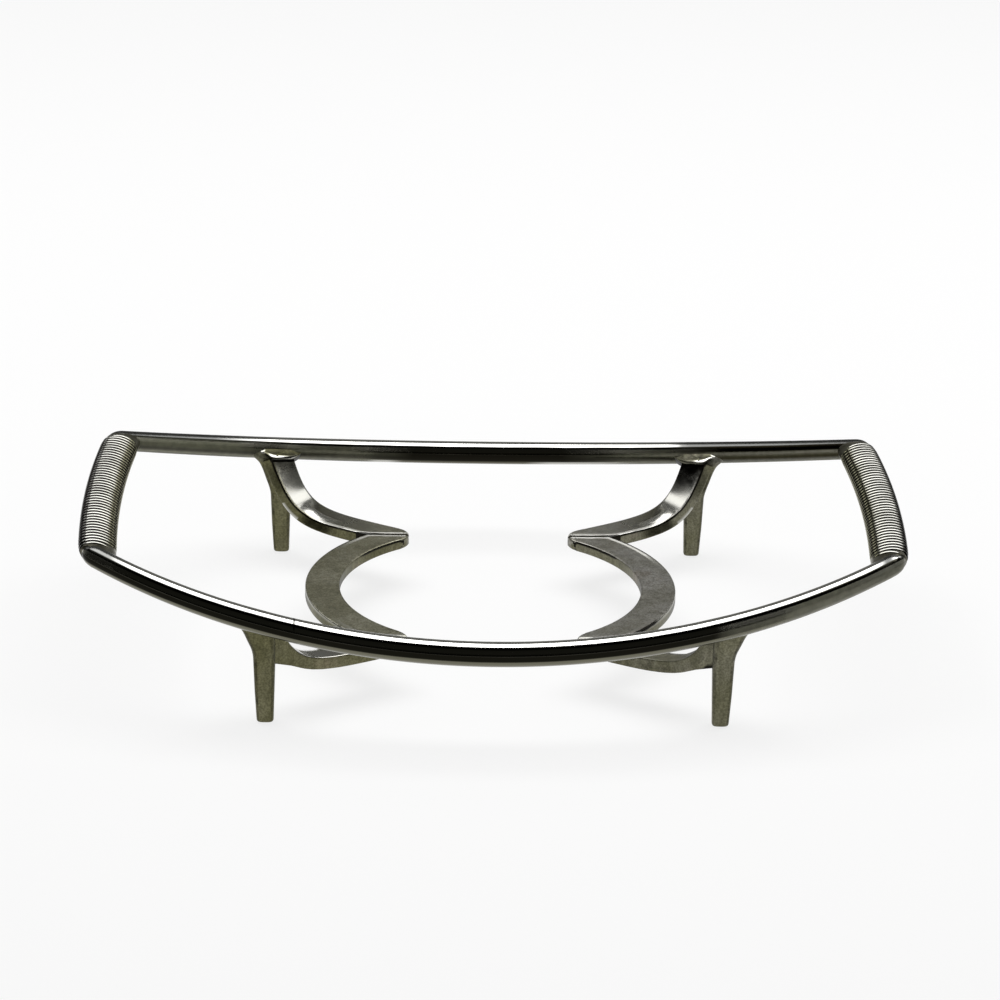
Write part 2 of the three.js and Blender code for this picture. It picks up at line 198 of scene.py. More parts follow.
# Each lamp's width and height, its place, the place it faces and its radiance
LAMPS = {
    "soft_box": ((2.0, 1.0), (0.10, 0.37, 1.30), (0.10, 0.37, 0.0), 4.2),
    "right_panel": ((0.45, 0.34), (0.99, 0.85, 0.80), (-0.07, 0.07, 0.03), 2.0),
    "left_panel": ((0.45, 0.34), (-0.99, 0.85, 0.80), (0.07, 0.07, 0.03), 2.0),
}
for lamp_name, ((width, height), place, faced, radiance) in LAMPS.items():
    lamp = bpy.data.lights.new(lamp_name, "AREA")
    lamp.shape = "RECTANGLE"
    lamp.size, lamp.size_y = width, height
    lamp.energy = radiance * np.pi * width * height
    lamp_object = bpy.data.objects.new(lamp_name, lamp)
    lamp_object.location = place
    sight = Vector(faced) - Vector(place)
    lamp_object.rotation_euler = sight.to_track_quat("-Z", "Y").to_euler()
    bpy.context.scene.collection.objects.link(lamp_object)


# Rails
# Two drawn round rods, each bent to a flat arc that leans outwards and down, thinner towards
# the ends and closed in rounded tips. They are silver plated and polished. Below the bright top
# the colour is painted reflection and shade, set by which way each point faces, and oxide dulls
# stretches of them, most near the ends.

# The corners are where the rods' axes meet those of the handles.
CORNER_X, CORNER_Y, CORNER_Z = 142.9 * MM, 61.7 * MM, 53.6 * MM
RAIL_BOW = 45.1 * MM
RAIL_LEAN = np.radians(24.1)
RAIL_CURVE = (CORNER_X**2 + RAIL_BOW**2) / (2 * RAIL_BOW)
CORNER_ANGLE = np.arcsin(CORNER_X / RAIL_CURVE)


def closed_skin(name, rows, finish, marks):
    """Skin over rows of points, where each row is a closed loop with the same number of points.
    The first and last rows have shrunk to a point or a seam, so merging doubled points closes them.
    marks gives a value for each point under a name, which materials read."""
    count, around = rows.shape[:2]
    index = np.arange(count * around).reshape(count, around)
    beside = np.roll(index, -1, axis=1)
    quads = np.stack([index[:-1], beside[:-1], beside[1:], index[1:]], axis=-1).reshape(-1, 4)
    mesh = bpy.data.meshes.new(name)
    mesh.from_pydata(rows.reshape(-1, 3).tolist(), [], quads.tolist())
    for mark, values in marks.items():
        layer = mesh.attributes.new(mark, "FLOAT", "POINT")
        spread = np.broadcast_to(values, (count, around)).astype(np.float32)
        layer.data.foreach_set("value", spread.ravel())
    merged = bmesh.new()
    merged.from_mesh(mesh)
    bmesh.ops.remove_doubles(merged, verts=merged.verts, dist=2e-7)
    bmesh.ops.recalc_face_normals(merged, faces=merged.faces)
    merged.to_mesh(mesh)
    merged.free()
    mesh.polygons.foreach_set("use_smooth", np.ones(len(mesh.polygons), bool))
    piece = bpy.data.objects.new(name, mesh)
    bpy.context.scene.collection.objects.link(piece)
    mesh.materials.append(finish)
    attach(piece, "root")
    return piece


def rail_line(angle):
    """Points and cross directions of the rear rail's axis: a circle's arc over the chord between
    two corners, in a plane that leans outwards and down, at angles from the arc's middle"""
    rise = RAIL_CURVE * np.cos(angle) - (RAIL_CURVE - RAIL_BOW)
    centre = np.stack([
        RAIL_CURVE * np.sin(angle),
        CORNER_Y + rise * np.cos(RAIL_LEAN),
        CORNER_Z - rise * np.sin(RAIL_LEAN),
    ], axis=-1)
    outwards = np.stack([
        np.sin(angle),
        np.cos(angle) * np.cos(RAIL_LEAN),
        -np.cos(angle) * np.sin(RAIL_LEAN),
    ], axis=-1)
    upwards = np.array([0.0, np.sin(RAIL_LEAN), np.cos(RAIL_LEAN)])
    return centre, outwards, np.broadcast_to(upwards, centre.shape)


def rail_rows():
    """Rings round the rail's axis. The radius falls off with the square of the way to the corner,
    and past the corner it closes as half an ellipse. Gives also how far up each spoke points."""
    middle_radius, end_radius, tip_length = 4.52 * MM, 3.9 * MM, 6.6 * MM
    along = np.linspace(-1.0, 1.0, 261)
    thinned = (np.sin(along * CORNER_ANGLE) / np.sin(CORNER_ANGLE)) ** 2
    body_radius = middle_radius - (middle_radius - end_radius) * thinned
    closing = np.linspace(0.0, np.pi / 2, 17)[1:]
    tip_angle = CORNER_ANGLE + tip_length * np.sin(closing) / RAIL_CURVE
    tip_radius = end_radius * np.cos(closing)
    angle = np.concatenate([-tip_angle[::-1], along * CORNER_ANGLE, tip_angle])
    radius = np.concatenate([tip_radius[::-1], body_radius, tip_radius])
    centre, outwards, upwards = rail_line(angle)
    turn = np.linspace(0.0, 2 * np.pi, 56, endpoint=False)
    spoke = outwards[:, None] * np.cos(turn)[:, None] + upwards[:, None] * np.sin(turn)[:, None]
    return centre[:, None] + spoke * radius[:, None, None], spoke[..., 2]


def metal(name):
    """A new metallic material: its shader, a socket to build on and the place on the object"""
    material = bpy.data.materials.new(name)
    material.use_nodes = True
    shader = material.node_tree.nodes["Principled BSDF"]
    shader.inputs["Metallic"].default_value = 1.0
    shade = Shade(material.node_tree)
    return material, shader, shade, shade.node("ShaderNodeTexCoord", {}, {}, "Object")


rail_finish, rail_shader, rail_shade, rail_place = metal("rail_silver")
lie = rail_shade.mark("lie")
on_rear = rail_shade.mark("rear")
dull_end = rail_shade.mark("dull")
tarnish = rail_shade.mark("tarnish")
banded = rail_shade.mark("banded")
clouds = rail_place.noise(55.0)
draw_lines = rail_place.stretched((40.0, 900.0, 900.0)).noise(1.0)
lie_share = (lie + (clouds - 0.5) * 0.06) * 0.5 + 0.5


def rail_tone(stops):
    """Painted reflection and shade of the rod round its section, by stops from its underside at 0 to
    its top at 1
    """
    return rail_shade.node("ShaderNodeValToRGB", {"stops": stops}, {"Fac": lie_share}, "Color")


# Painted reflection: pale underside, near-black band, bright band, dark line under the top
front_painted_reflection = rail_tone([
    (0.0, (0.17, 0.165, 0.125)),
    (0.325, (0.155, 0.15, 0.11)),
    (0.375, (0.009, 0.0085, 0.006)),
    (0.575, (0.009, 0.0085, 0.006)),
    (0.635, (0.09, 0.087, 0.07)),
    (0.695, (0.50, 0.49, 0.43)),
    (0.81, (0.40, 0.39, 0.34)),
    (0.845, (0.004, 0.004, 0.003)),
])
rear_painted_reflection = rail_tone([
    (0.0, (0.13, 0.122, 0.088)),
    (0.20, (0.09, 0.085, 0.058)),
    (0.27, (0.011, 0.010, 0.007)),
    (0.565, (0.007, 0.0065, 0.0045)),
    (0.62, (0.07, 0.066, 0.05)),
    (0.68, (0.50, 0.48, 0.40)),
    (0.81, (0.40, 0.39, 0.34)),
    (0.845, (0.004, 0.004, 0.003)),
])
# Oxidised stretches: a dull olive of their own, with painted reflection and shade by facing
front_oxide_and_painted_reflection = rail_tone([
    (0.12, (0.20, 0.197, 0.155)),
    (0.275, (0.19, 0.187, 0.14)),
    (0.36, (0.135, 0.132, 0.09)),
    (0.466, (0.16, 0.158, 0.11)),
    (0.70, (0.22, 0.22, 0.165)),
    (0.80, (0.20, 0.20, 0.15)),
    (0.845, (0.03, 0.029, 0.022)),
])
rear_oxide_and_painted_reflection = rail_tone([
    (0.12, (0.13, 0.128, 0.095)),
    (0.205, (0.25, 0.247, 0.18)),
    (0.275, (0.14, 0.138, 0.095)),
    (0.345, (0.06, 0.058, 0.036)),
    (0.41, (0.07, 0.069, 0.044)),
    (0.466, (0.12, 0.12, 0.078)),
    (0.57, (0.17, 0.172, 0.112)),
    (0.70, (0.22, 0.222, 0.155)),
    (0.777, (0.19, 0.19, 0.135)),
    (0.82, (0.04, 0.039, 0.028)),
    (0.85, (0.006, 0.006, 0.004)),
])
# Banded stretches of the rear rod: olive oxide under painted pale and dark bands by facing
band_oxide_and_painted_reflection = rail_tone([
    (0.12, (0.17, 0.166, 0.13)),
    (0.205, (0.14, 0.137, 0.105)),
    (0.275, (0.055, 0.052, 0.034)),
    (0.36, (0.022, 0.020, 0.010)),
    (0.449, (0.045, 0.042, 0.025)),
    (0.503, (0.12, 0.115, 0.08)),
    (0.554, (0.24, 0.233, 0.175)),
    (0.60, (0.28, 0.272, 0.21)),
    (0.65, (0.16, 0.154, 0.112)),
    (0.697, (0.05, 0.046, 0.028)),
    (0.75, (0.012, 0.010, 0.005)),
    (0.85, (0.006, 0.005, 0.003)),
])
# Painted highlight: a bright line along the underside of the rear rod, at two stretches
gleam_tone = (0.62, 0.615, 0.58, 1.0)
gleam = rail_shade.mark("gleam") * (1 - lie.between(-0.62, -0.50))
polished_painted_reflection = on_rear.blend(front_painted_reflection, gleam.blend(rear_painted_reflection, gleam_tone))
mottle_dark, mottle_light = (0.86, 0.86, 0.85, 1.0), (1.12, 1.12, 1.12, 1.0)
mottled = rail_place.noise(420.0).between(0.3, 0.7).blend(mottle_dark, mottle_light)
oxide_with_painted_reflection = on_rear.blend(front_oxide_and_painted_reflection, rear_oxide_and_painted_reflection).tint(mottled)
rail_body = banded.blend(tarnish.blend(polished_painted_reflection, oxide_with_painted_reflection), band_oxide_and_painted_reflection.tint(mottled))
# Only the top keeps bright silver, dull grey at tarnished ends, which bounds the highlight;
bright_top, dull_top = (0.62, 0.615, 0.59, 1.0), (0.085, 0.086, 0.083, 1.0)
# the trim mark narrows that bright top in places, over the painted reflection below
on_top = (lie_share - rail_shade.mark("trim")).between(0.875, 0.905)
plate_and_painted_reflection = on_top.blend(rail_body, dull_end.blend(bright_top, dull_top))
# One fine dark scratch crosses the top of the front rod.
scratch_x, scratch_core, scratch_edge = -71.2 * MM, 0.12 * MM, 0.45 * MM
scratch_tone = (0.02, 0.019, 0.015, 1.0)
from_scratch = rail_shade.maths("ABSOLUTE", rail_place.part("X") - scratch_x, 0.0)
scratched = (1 - from_scratch.between(scratch_core, scratch_edge)) * (1 - on_rear)
rail_colour = (scratched * lie.between(0.3, 0.6)).blend(plate_and_painted_reflection, scratch_tone)
rail_colour.into(rail_shader, "Base Color")
# Oxide is rough and hardly shines, except where the banded stretches are lit.
lit_side = lie_share.between(0.46, 0.53) * (1 - lie_share.between(0.62, 0.69))
lit_band = lit_side + (1 - lie_share.between(0.26, 0.31))
worn = tarnish * (1 - lie_share.between(0.79, 0.83)) * (1 - banded * (1 - lit_band))
rail_roughness = clouds * 0.05 + draw_lines * 0.05 + 0.05 + worn * 0.3 + dull_end * 0.14
rail_roughness.into(rail_shader, "Roughness")
(1 - worn * 0.75).into(rail_shader, "Metallic")
(draw_lines * 0.4 + clouds).bump(0.05, 0.2 * MM).into(rail_shader, "Normal")

rear_rows, rail_lie = rail_rows()
front_rows = rear_rows * np.array([-1.0, -1.0, 1.0])


def rail_mark(rows, places, values):
    """Mark for each point of a rail, by its place along X, through places in millimetres"""
    return np.interp(rows[..., 0], np.array(places) * MM, values)


rear_marks = {
    "lie": rail_lie,
    "rear": 1.0,
    "trim": 0.004,
    "gleam": rail_mark(
        rear_rows,
        [-50, -45, -40, -34, 15, 25, 50, 62],
        [0, 0.9, 0.9, 0, 0, 0.7, 0.7, 0],
    ),
    "dull": rail_mark(
        rear_rows,
        [-108, -100, -90, -84, 72, 77, 80],
        [1, 0.8, 0.3, 0, 0, 0.9, 1],
    ),
    "tarnish": rail_mark(
        rear_rows,
        [-134, -124, -100, -92, -84, -78, -72, -56, -44, -30, 30, 45, 58, 72, 80, 90],
        [0.8, 1, 1, 0.35, 0.3, 0.7, 0.9, 0.9, 0.2, 0, 0, 0.15, 0.6, 0.85, 0.5, 1],
    ),
    "banded": rail_mark(
        rear_rows,
        [-78, -70, -56, -44, 52, 62, 74, 95],
        [0, 0.3, 0.3, 0, 0, 0.25, 0.5, 1],
    ),
}
front_marks = {
    "lie": rail_lie,
    "rear": 0.0,
    "trim": rail_mark(
        front_rows,
        [-110, -70, -45, -20, 20, 45, 80, 120],
        [0.034, 0.03, 0.012, 0, 0, 0.016, 0.028, 0.034],
    ),
    "gleam": 0.0,
    "dull": rail_mark(
        front_rows,
        [-138, -132, -124, 137, 141, 143, 145],
        [0.9, 0.25, 0, 0, 1, 1, 0],
    ),
    "tarnish": rail_mark(
        front_rows,
        [78, 84, 102, 108, 126, 134, 149],
        [0, 0.35, 0.45, 1, 1, 0.8, 0.7],
    ),
    "banded": 0.0,
}
rear_rail = closed_skin("rear_rod", rear_rows, rail_finish, rear_marks)
front_rail = closed_skin("front_rod", front_rows, rail_finish, front_marks)
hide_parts("rear_rail")
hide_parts("front_rail")


# Handles
# An oval rod joins the rails' ends on each side. It is bound with one wire in close turns, and
# only its plain shoulders show, where they are soldered to the rails.
def handle_line(along):
    """Points and cross directions of the right handle's axis at lengths from its middle: a circle's
    arc that bows outwards over the chord between the rails' corners, with its flat side leaning"""
    bow, bow_lean, lean = 2.7 * MM, np.radians(8.5), np.radians(14.0)
    radius = (CORNER_Y**2 + bow**2) / (2 * bow)
    angle = along / radius
    rise = radius * np.cos(angle) - (radius - bow)
    centre = np.stack([
        CORNER_X + rise * np.cos(bow_lean),
        radius * np.sin(angle),
        CORNER_Z + rise * np.sin(bow_lean),
    ], axis=-1)
    wide = np.stack([
        np.cos(angle) * np.cos(lean),
        np.sin(angle) * np.cos(lean),
        np.broadcast_to(np.sin(lean), angle.shape),
    ], axis=-1)
    thick = np.stack([
        -np.cos(angle) * np.sin(lean),
        -np.sin(angle) * np.sin(lean),
        np.broadcast_to(np.cos(lean), angle.shape),
    ], axis=-1)
    return centre, wide, thick


def squared(wave, power):
    """A sine or cosine with its size raised to a power, which squares the sides of an oval"""
    return np.sign(wave) * np.abs(wave) ** power


def core_rows():
    """Oval sections along the handle's axis, narrow under the wire and full in the shoulders. Each
    shoulder's end is skewed to lie along the rail, whose middle it reaches."""
    neck_end, chord_end, skew, overlap = 53.4 * MM, 61.6 * MM, -0.64, 0.2 * MM
    neck_half_width, neck_half_depth = 4.7 * MM, 2.0 * MM
    fuller_inside, fuller_outside, fuller_depth = 2.2 * MM, 1.6 * MM, 1.65 * MM
    turn = np.linspace(0.0, 2 * np.pi, 64, endpoint=False)
    across_turn = squared(np.cos(turn), 0.88)
    up_turn = squared(np.sin(turn), 0.92)
    share = np.linspace(0.0, 1.0, 25)[:, None]
    full = np.clip(share * 12, 0, 1) ** 0.5
    inner = neck_half_width + fuller_inside * full
    outer = neck_half_width + fuller_outside * full
    across_end = np.where(across_turn < 0, inner, outer) * across_turn
    up_end = (neck_half_depth + fuller_depth * full) * up_turn
    along_end = neck_end + share * (chord_end + skew * across_end - neck_end)
    reach_mid = np.linspace(-1.0, 1.0, 80)[:, None] * (neck_end - overlap)
    middle = (len(reach_mid), len(turn))
    across_mid = np.broadcast_to(neck_half_width * across_turn, middle)
    up_mid = np.broadcast_to(neck_half_depth * up_turn, middle)
    along_mid = np.broadcast_to(reach_mid, middle)
    seam = np.zeros((1, len(turn)))
    across = np.concatenate([seam, across_end[::-1], across_mid, across_end, seam])
    rise = np.concatenate([seam, up_end[::-1], up_mid, up_end, seam])
    along = np.concatenate([
        seam - chord_end, -along_end[::-1], along_mid, along_end, seam + chord_end,
    ])
    centre, wide, thick = handle_line(along)
    return centre + wide * across[..., None] + thick * rise[..., None]


def wire_rows():
    """One wire carried round the handle's oval in a helix. Its ends dip towards the rod over a
    third of a turn, and neighbouring turns just touch. Gives also marks for the wire's crown and
    for the top and the outer side of the oval."""
    turns, wrap_end = 43.5, 58.6 * MM
    half_width, half_depth, wire_rise = 6.05 * MM, 3.22 * MM, 1.08 * MM
    end_dip, end_narrowing = 1.0 * MM, 0.5 * MM
    pitch = 2 * wrap_end / turns
    wire_half_width = 0.505 * pitch
    turned = np.linspace(0.0, turns, 1915)
    to_end = np.minimum(turned, turns - turned)
    dip = np.clip(1 - to_end * 3, 0, 1) ** 2 * end_dip
    narrow = np.clip(1 - to_end / 3, 0, 1) ** 2 * end_narrowing
    angle = 2 * np.pi * turned
    across = (half_width - dip - narrow) * np.cos(angle)
    rise = (half_depth - dip) * np.sin(angle)
    along = -wrap_end + 0.5 * pitch + turned * (2 * wrap_end - pitch) / turns
    centre, wide, thick = handle_line(along)
    path = centre + wide * across[:, None] + thick * rise[:, None]
    normal_wide = wide * (np.cos(angle) / half_width)[:, None]
    normal = normal_wide + thick * (np.sin(angle) / half_depth)[:, None]
    normal = normal / np.linalg.norm(normal, axis=1, keepdims=True)
    axial = np.cross(thick, wide)
    turn = np.linspace(0.0, 2 * np.pi, 12, endpoint=False)
    lift = normal[:, None] * (wire_rise * np.cos(turn))[:, None]
    spread = axial[:, None] * (wire_half_width * np.sin(turn))[:, None]
    ends = np.broadcast_to(path[[0, -1], None], (2, len(turn), 3))
    rows = np.concatenate([ends[:1], path[:, None] + lift + spread, ends[1:]])
    angle = np.concatenate([angle[:1], angle, angle[-1:]])[:, None]
    return rows, {"crown": np.cos(turn), "top": np.sin(angle), "outer": np.cos(angle)}


core_finish, core_shader, _, core_place = metal("shoulder_silver")
core_dark, core_light = (0.10, 0.095, 0.06, 1.0), (0.24, 0.23, 0.18, 1.0)
core_clouds = core_place.noise(160.0)
core_clouds.between(0.35, 0.65).blend(core_dark, core_light).into(core_shader, "Base Color")
(core_clouds * 0.2 + 0.2).into(core_shader, "Roughness")
core_clouds.bump(0.1, 0.3 * MM).into(core_shader, "Normal")

wire_finish, wire_shader, wire_shade, wire_place = metal("wire_silver")
# Painted shade in the valleys, painted highlight on upper crowns, painted reflections on sides
valley_painted_shade, crown_painted_highlight = (0.012, 0.011, 0.008, 1.0), (0.55, 0.545, 0.51, 1.0)
inside_painted_reflection, outside_painted_reflection = (0.27, 0.26, 0.17, 1.0), (0.05, 0.048, 0.04, 1.0)
wire_clouds = wire_place.noise(90.0)
outer_side = wire_shade.mark("outer")
on_crown = (wire_shade.mark("crown") + (wire_clouds - 0.5) * 0.12).between(0.745, 0.95)
upper_side = wire_shade.mark("top") + outer_side * 0.24 + (wire_clouds - 0.5) * 0.15
side_painted_reflection = outer_side.between(-0.2, 0.2).blend(inside_painted_reflection, outside_painted_reflection)
wire_tone = on_crown.blend(valley_painted_shade, side_painted_reflection)
wire_colour = (on_crown * upper_side.between(0.65, 0.89)).blend(wire_tone, crown_painted_highlight)
wire_colour.into(wire_shader, "Base Color")
(0.22 - on_crown * 0.15 + wire_clouds * 0.03).into(wire_shader, "Roughness")

right_core = core_rows()
right_wire, wire_marks = wire_rows()
for side, flip in (("right", 1.0), ("left", -1.0)):
    facing = np.array([flip, flip, 1.0])
    core = closed_skin(f"{side}_handle_rod", right_core * facing, core_finish, {})
    wire_skin = right_wire * facing
    wire = closed_skin(f"{side}_handle_wire", wire_skin, wire_finish, wire_marks)
    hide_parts(f"{side}_handle_core")
    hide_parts(f"{side}_handle_wrap")

# Ring
# Two flat cast segments of one circle carry the dish. Their ends are mitred against the arms
# and share a rounded nose with them, and every edge is softened. The cast metal is satin.

# The ring and the arms share a level top, the nose and the mitre's line. The rows of a skin
# close up to an end in steps, and FAR stands for a way to an end that isn't near.
RING_TOP = 19.86 * MM
NOSE = np.array([38.4, 51.7]) * MM
NOSE_RADIUS = 7.4 * MM
MITRE_Y, MITRE_GAP = 51.15 * MM, 0.1 * MM
END_EDGE = 0.95 * MM
END_STEPS = np.array([3.4, 2.6, 2.0, 1.6, 1.3, 1.05, 0.82, 0.62, 0.44, 0.28, 0.15, 0.05, 0.0]) * MM
FAR = 1.0


def bar_section(width, thickness, edge):
    """A rounded rectangle as places across and depths under the upper face, going round it once"""
    half = width / 2
    flat = np.linspace(-half + edge, half - edge, 15)
    corner = np.linspace(0.0, np.pi / 2, 6)[1:-1]
    side = np.linspace(edge, thickness - edge, 4)
    curve_out, curve_in = edge * np.sin(corner), edge * np.cos(corner)
    across = np.concatenate([
        flat, half - edge + curve_out, np.full_like(side, half), half - edge + curve_in,
        flat[::-1], -half + edge - curve_out, np.full_like(side, -half), -half + edge - curve_in,
    ])
    depth = np.concatenate([
        np.zeros_like(flat), edge - curve_in, side, thickness - edge + curve_out,
        np.full_like(flat, thickness), thickness - edge + curve_in, side[::-1], edge - curve_out,
    ])
    return across, depth


def end_softening(to_end, thickness):
    """Share of the full thickness left near an end, which is rounded over its last millimetre"""
    near = np.clip(1 - np.clip(to_end, 0, None) / END_EDGE, 0, 1)
    lost = END_EDGE * (1 - np.sqrt(1 - near**2))
    return 1 - 2 * lost / thickness


def ring_rows():
    """A rounded rectangle carried round a circle. Each of its points stops where its own circle
    meets the mitre or the nose, and the thickness closes there. Gives the rows, the marks that
    both segments share, the rim of the face for a painted highlight, a painted dark line along the
    outer edge and the angle round the ring."""
    inner, outer, thickness, edge = np.array([57.0, 70.05, 4.2, 0.6]) * MM
    rim_width, rim_at_mitre, edge_width = 2.5 * MM, 2.1 * MM, 0.9 * MM
    mitre_bevel, cusp_from, cusp_length = 0.85 * MM, np.radians(26), np.radians(8)
    across, depth = bar_section(outer - inner, thickness, edge)
    radius = (inner + outer) / 2 + across
    mitre = MITRE_Y - MITRE_GAP
    nose_distance, nose_angle = np.hypot(*NOSE), np.arctan2(NOSE[1], NOSE[0])
    nose_cosine = (radius**2 + nose_distance**2 - NOSE_RADIUS**2) / (2 * radius * nose_distance)
    nose_end = nose_angle + np.arccos(np.clip(nose_cosine, -1, 1))
    end = np.minimum(nose_end, np.arcsin(mitre / radius))
    near_end = end - END_STEPS[:, None] / radius
    middle = near_end[0] * np.linspace(-1, 1, 141)[1:-1, None]
    angle = np.concatenate([-near_end[::-1], middle, near_end])
    x, y = radius * np.cos(angle), radius * np.sin(angle)
    to_mitre = mitre - np.abs(y)
    to_nose = NOSE_RADIUS - np.hypot(x - NOSE[0], np.abs(y) - NOSE[1])
    to_nose = np.where(np.abs(angle) > nose_angle, to_nose, FAR)
    share = end_softening(np.minimum(to_mitre, to_nose), thickness)
    share[[0, -1]] = 0.0
    z = RING_TOP - thickness / 2 + (thickness / 2 - depth) * share

    # Marks: painted top light on the face, painted shade under the inner edge near the cusps
    upper = np.where(depth < 0.5 * edge, 1.0, 0.0)
    cusp = np.clip((np.abs(angle) - cusp_from) / cusp_length, 0, 1)
    lip = (across < 0) & (depth > 0.4 * edge) & (depth < 2.4 * edge)
    bevel = np.where((across > 0) & (depth > 0.05 * edge) & (depth < 1.1 * edge), 0.48, 0.0)
    bevel = np.maximum(bevel, np.where((to_mitre < mitre_bevel) & (depth < edge), 0.54, 0.0))
    # The rim of the face, where a painted highlight goes
    from_outer = (outer - inner) / 2 - across
    rim = ((from_outer < rim_width) | (to_mitre < rim_at_mitre)) & (depth < edge)
    inside_edge = (from_outer > edge_width) | (to_mitre < edge_width)
    rim = rim & inside_edge & (to_nose > edge_width)
    # Painted shade: a dark line along the outer edge, growing towards both ends
    dark = np.where((from_outer < edge_width) & (depth < 1.1 * edge), 0.9, 0.0)
    dark = dark * np.interp(np.abs(angle), np.radians([14, 36]), [0.0, 1.0])
    marks = {"face": upper, "soot": lip * cusp, "polish": bevel}
    return np.stack([x, y, z], axis=-1), marks, rim, dark, angle


frame_finish, frame_shader, frame_shade, frame_place = metal("satin_silver")
polish = frame_shade.mark("polish")
matt_share = frame_shade.mark("matt")
patches = frame_place.noise(60.0)
grain = frame_place.noise(1500.0)
streaks = frame_place.noise(260.0)
scraped = frame_place.stretched((500.0, 500.0, 60.0)).noise(1.0)
# Painted light: the upper faces take a lighter copy of the satin tone than the sides
shaded_side_dark, shaded_side_pale = (0.12, 0.115, 0.060, 1.0), (0.158, 0.151, 0.092, 1.0)
lit_face_dark, lit_face_pale = (0.26, 0.25, 0.18, 1.0), (0.31, 0.30, 0.235, 1.0)
patchy = patches.between(0.35, 0.68)
satin_lit_and_shaded = frame_shade.mark("face").blend(
    patchy.blend(shaded_side_dark, shaded_side_pale),
    patchy.blend(lit_face_dark, lit_face_pale),
)
stain_tone = (0.21, 0.18, 0.12, 1.0)
stained = (patches.between(0.60, 0.72) * 0.6).blend(satin_lit_and_shaded, stain_tone)
speckle_dark, speckle_light = (0.70, 0.70, 0.68, 1.0), (1.18, 1.18, 1.16, 1.0)
speckle = grain.between(0.32, 0.68).blend(speckle_dark, speckle_light)
scrape_dark, scrape_light = (0.88, 0.88, 0.86, 1.0), (1.1, 1.1, 1.11, 1.0)
scrape_lines = scraped.between(0.35, 0.65).blend(scrape_dark, scrape_light)
cloud_dark, cloud_light = (0.88, 0.88, 0.87, 1.0), (1.1, 1.1, 1.1, 1.0)
cloudy = streaks.between(0.3, 0.7).blend(cloud_dark, cloud_light).tint(scrape_lines)
plain_tint = (1.0, 1.0, 1.0, 1.0)
cool_tint, edge_on_shade_tint = (1.18, 1.19, 1.47, 1.0), (0.22, 0.22, 0.20, 1.0)
cooler = frame_place.part("X").between(-0.05, 0.06).blend(plain_tint, cool_tint)
# Painted shade: surfaces darken where they are seen edge-on
grazing = frame_shade.node("ShaderNodeLayerWeight", {}, {"Blend": 0.5}, "Facing")
edge_on_painted_shade = grazing.between(0.70, 0.97).blend(plain_tint, edge_on_shade_tint)
satin_grained = stained.tint(speckle).tint(cloudy).tint(cooler).tint(edge_on_painted_shade)
# Polished parts take the polished tone, and where also marked matt a near-white painted highlight
polished_tone, painted_highlight_tone = (0.48, 0.475, 0.44, 1.0), (0.97, 0.96, 0.91, 1.0)
shiny = polish.blend(satin_grained, (polish * matt_share).blend(polished_tone, painted_highlight_tone))
# Dark mark: painted shade along edges, in creases and under the rail, and darker solder, mottled
dirt_and_shade_tone = (0.012, 0.011, 0.008, 1.0)
dirt_and_shade_share = (frame_shade.mark("soot") + (streaks - 0.5) * 0.5).between(0.35, 0.7)
dirt_and_shade_share.blend(shiny, dirt_and_shade_tone).into(frame_shader, "Base Color")
satin_roughness = patches * 0.10 + grain * 0.12 + 0.28
(satin_roughness * (1 - polish * 0.62)).into(frame_shader, "Roughness")
(1 - matt_share * 0.8).into(frame_shader, "Metallic")
relief = (grain + streaks * 1.5 + patches) * (1 - polish * 0.8)
relief.bump(0.15, 0.2 * MM).into(frame_shader, "Normal")

right_ring, ring_marks, ring_rim, ring_painted_edge_line, ring_angle = ring_rows()
# A painted highlight, near-white and matt, runs along the rear of the rim from a heading in
# degrees on, and faintly at its front end. The painted dark line along the outer edge grows
# towards both ends, and is fainter at the front left.
for side, flip, highlight_from, highlight_rear, dark_front in (
    ("right", 1.0, 16, 0.95, 1.0),
    ("left", -1.0, 30, 0.75, 0.5),
):
    facing = np.array([flip, flip, 1.0])
    rearward = ring_angle * flip
    headings = np.radians([-42, -30, highlight_from, highlight_from + 12])
    rim_painted_highlight = ring_rim * np.interp(rearward, headings, [0.4, 0.0, 0.0, highlight_rear])
    outer_edge_painted_shade = ring_painted_edge_line * np.where(rearward > 0, 1.0, dark_front)
    segment_marks = {
        "face": ring_marks["face"],
        "soot": np.maximum(ring_marks["soot"], outer_edge_painted_shade),
        "polish": np.maximum(ring_marks["polish"], rim_painted_highlight),
        "matt": rim_painted_highlight,
    }
    skin = right_ring * facing
    segment = closed_skin(f"{side}_ring", skin, frame_finish, segment_marks)
    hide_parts(f"{side}_ring_segment")

# Arms
# A cast bar drops from each leg head in a tight curve and levels out to the ring. Its upper face
# is polished and its sides are satin. At the top it ends in a ground bevel and a short shelf
# under the solder of the rail, and behind it a thin web fills the corner to the leg.
ARM_HEADING = np.radians(31.3)
ARM_TOP = np.array([82.65, 79.62]) * MM
ARM_WIDTH, ARM_THICKNESS, ARM_EDGE = 12.54 * MM, 4.75 * MM, 0.5 * MM
# Share of the arm's curve where its fall ends
FALL_END = 0.62
PLAIN = {"face": 0.0, "soot": 0.0, "polish": 0.0, "matt": 0.0}
# Signs that turn the rear right quarter into each of the four
QUARTERS = {
    "rear_right": np.array([1.0, 1.0, 1.0]),
    "rear_left": np.array([-1.0, 1.0, 1.0]),
    "front_left": np.array([-1.0, -1.0, 1.0]),
    "front_right": np.array([1.0, -1.0, 1.0]),
}


